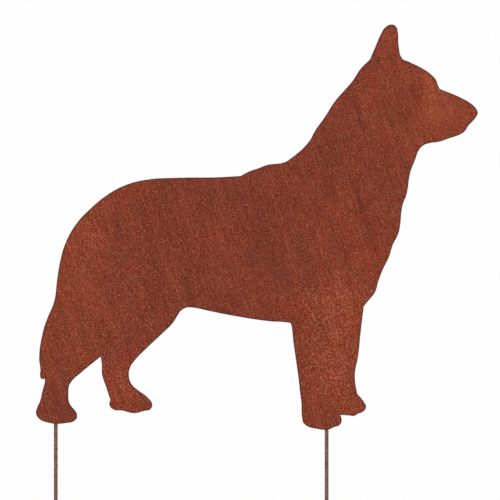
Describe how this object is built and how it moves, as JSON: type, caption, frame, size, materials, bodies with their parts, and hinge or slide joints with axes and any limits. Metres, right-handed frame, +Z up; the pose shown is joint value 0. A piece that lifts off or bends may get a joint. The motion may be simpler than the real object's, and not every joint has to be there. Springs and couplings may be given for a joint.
{
  "type": "steel dog garden stake",
  "caption": "Flat weathering steel silhouette of a standing dog, held upright in soil or turf by slim round stakes welded behind its legs.",
  "frame": {"origin": "on the ground line, level with the lowest paw, midway between the axes of the two stakes", "axes": "+X towards the dog's nose, +Y towards the back of the sheet, where the stakes are, +Z up"},
  "size_m": [0.4502, 0.0063, 0.6126],
  "materials": {
    "rusted_plate": "unpainted weathering steel under a matt, fine-grained red-brown rust patina",
    "rusted_bar": "unpainted round steel bar, grey-brown with a thin mottled rust",
    "weld_metal": "rippled dark brown weld metal"
  },
  "bodies": {
    "root": {"dog_plate": "rusted_plate", "hind_stake": "rusted_bar", "fore_stake": "rusted_bar", "hind_lower_weld_tail_side": "weld_metal", "hind_lower_weld_nose_side": "weld_metal", "hind_upper_weld_tail_side": "weld_metal", "hind_upper_weld_nose_side": "weld_metal", "fore_lower_weld_tail_side": "weld_metal", "fore_lower_weld_nose_side": "weld_metal", "fore_upper_weld_tail_side": "weld_metal", "fore_upper_weld_nose_side": "weld_metal"}
  },
  "joints": []
}
